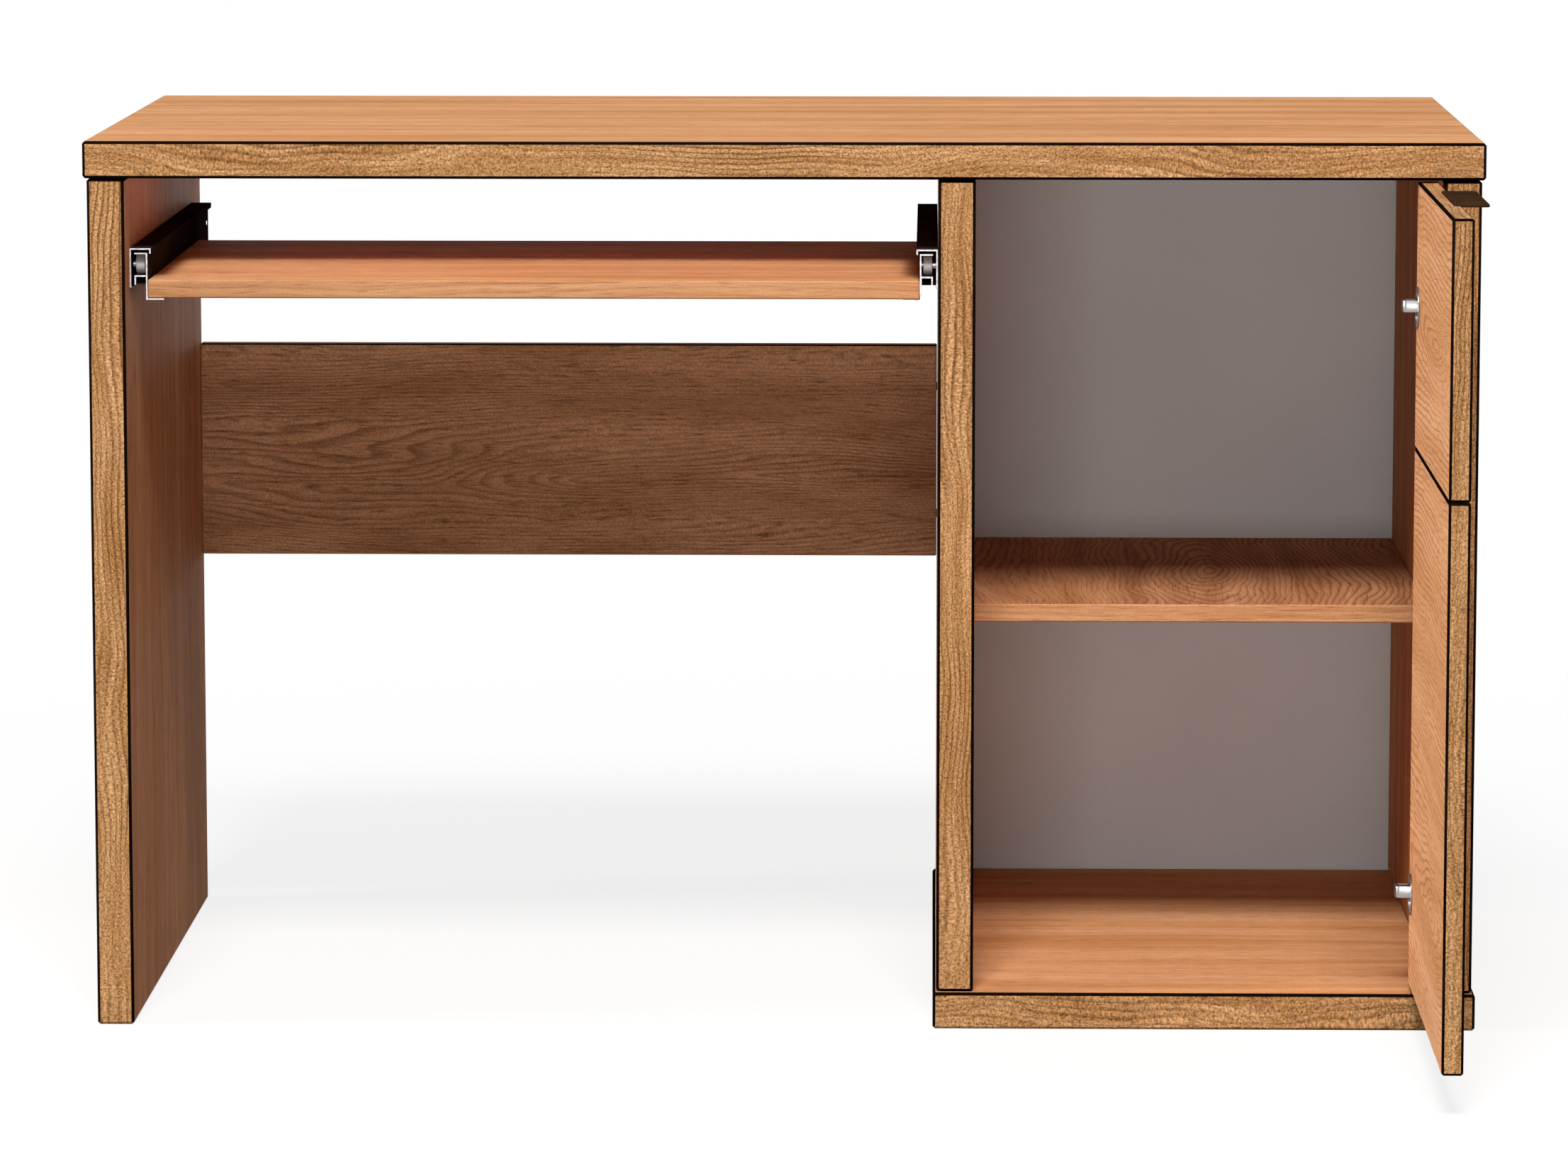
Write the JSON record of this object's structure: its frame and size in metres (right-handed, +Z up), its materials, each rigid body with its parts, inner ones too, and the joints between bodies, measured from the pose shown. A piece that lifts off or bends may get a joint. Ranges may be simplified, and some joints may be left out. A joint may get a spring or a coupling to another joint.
{
  "type": "office desk",
  "caption": "Wooden office desk with a thick top, an open-bay keyboard tray on roller slides and a cabinet whose inset door swings on concealed hinges.",
  "frame": {"origin": "on the floor, at the middle of the desk's box as it stands with the door open at a right angle", "axes": "+X to the right of someone facing the desk's front, +Y from the front to the back, +Z up"},
  "size_m": [1.2, 0.9884, 0.77],
  "materials": {
    "alder_laminate": "satin wood-grain laminate on chipboard, dark chamfered edges on the thick boards",
    "grey_hardboard": "plain grey-brown lacquered hardboard",
    "beech": "raw turned beech",
    "black_steel": "black powder coat on rolled steel",
    "nylon": "moulded grey nylon",
    "zinc": "bright zinc plate",
    "nickel": "nickel plate on pressed steel",
    "brown_metal": "dark brown satin coating"
  },
  "bodies": {
    "carcass": {"desk_top": "alder_laminate", "left_side_panel": "alder_laminate", "centre_panel": "alder_laminate", "right_side_panel": "alder_laminate", "base_board": "alder_laminate", "modesty_panel": "alder_laminate", "cabinet_back_panel": "grey_hardboard", "cabinet_shelf": "alder_laminate", "shelf_pin_front_left": "zinc", "shelf_pin_rear_left": "zinc", "shelf_pin_front_right": "zinc", "shelf_pin_rear_right": "zinc", "left_side_top_dowel_front": "beech", "left_side_top_dowel_rear": "beech", "centre_top_dowel_front": "beech", "centre_top_dowel_rear": "beech", "right_side_top_dowel_front": "beech", "right_side_top_dowel_rear": "beech", "centre_base_dowel_front": "beech", "centre_base_dowel_rear": "beech", "right_side_base_dowel_front": "beech", "right_side_base_dowel_rear": "beech", "modesty_left_dowel_low": "beech", "modesty_left_dowel_high": "beech", "modesty_centre_dowel_low": "beech", "modesty_centre_dowel_high": "beech", "cabinet_rail_left": "black_steel", "cabinet_rail_right": "black_steel", "front_axle_left": "zinc", "front_axle_right": "zinc", "hinge_arm_upper": "nickel", "hinge_arm_lower": "nickel", "hinge_plate_upper": "nickel", "hinge_plate_lower": "nickel"},
    "tray": {"keyboard_tray": "alder_laminate", "tray_rail_left": "black_steel", "tray_rail_right": "black_steel", "rear_axle_left": "zinc", "rear_axle_right": "zinc"},
    "front_wheel_left": {"front_roller_left": "nylon"},
    "front_wheel_right": {"front_roller_right": "nylon"},
    "rear_wheel_left": {"rear_roller_left": "nylon"},
    "rear_wheel_right": {"rear_roller_right": "nylon"},
    "door": {"door_upper_board": "alder_laminate", "door_lower_board": "alder_laminate", "door_dowel_hinge_side": "beech", "door_dowel_middle": "beech", "door_dowel_free_side": "beech", "door_pull_plate": "brown_metal", "hinge_cup_upper": "nickel", "hinge_cup_lower": "nickel", "hinge_pin_upper": "nickel", "hinge_pin_lower": "nickel"}
  },
  "joints": [
    {"name": "tray_slide", "type": "slide", "parent": "carcass", "child": "tray", "axis": [0, -1, 0], "range_m": [0, 0.3]},
    {"name": "front_wheel_left_spin", "type": "hinge", "parent": "carcass", "child": "front_wheel_left", "pos_m": [-0.5561, -0.07185, 0.6607], "axis": [1, 0, 0], "range_deg": [-5, 1965]},
    {"name": "front_wheel_right_spin", "type": "hinge", "parent": "carcass", "child": "front_wheel_right", "pos_m": [0.1241, -0.07185, 0.6607], "axis": [1, 0, 0], "range_deg": [-5, 1965]},
    {"name": "rear_wheel_left_spin", "type": "hinge", "parent": "tray", "child": "rear_wheel_left", "pos_m": [-0.5572, 0.39215, 0.6576], "axis": [1, 0, 0], "range_deg": [-5, 1160]},
    {"name": "rear_wheel_right_spin", "type": "hinge", "parent": "tray", "child": "rear_wheel_right", "pos_m": [0.1252, 0.39215, 0.6576], "axis": [1, 0, 0], "range_deg": [-5, 1160]},
    {"name": "door_swing", "type": "hinge", "parent": "carcass", "child": "door", "pos_m": [0.552, -0.11035, 0.374], "axis": [0, 0, 1], "range_deg": [-90, 10]}
  ],
  "couplings": [
    {"joint": "front_wheel_left_spin", "follows": "tray_slide", "rad_per_m": 113.64},
    {"joint": "front_wheel_right_spin", "follows": "tray_slide", "rad_per_m": 113.64},
    {"joint": "rear_wheel_left_spin", "follows": "tray_slide", "rad_per_m": 66.667},
    {"joint": "rear_wheel_right_spin", "follows": "tray_slide", "rad_per_m": 66.667}
  ]
}
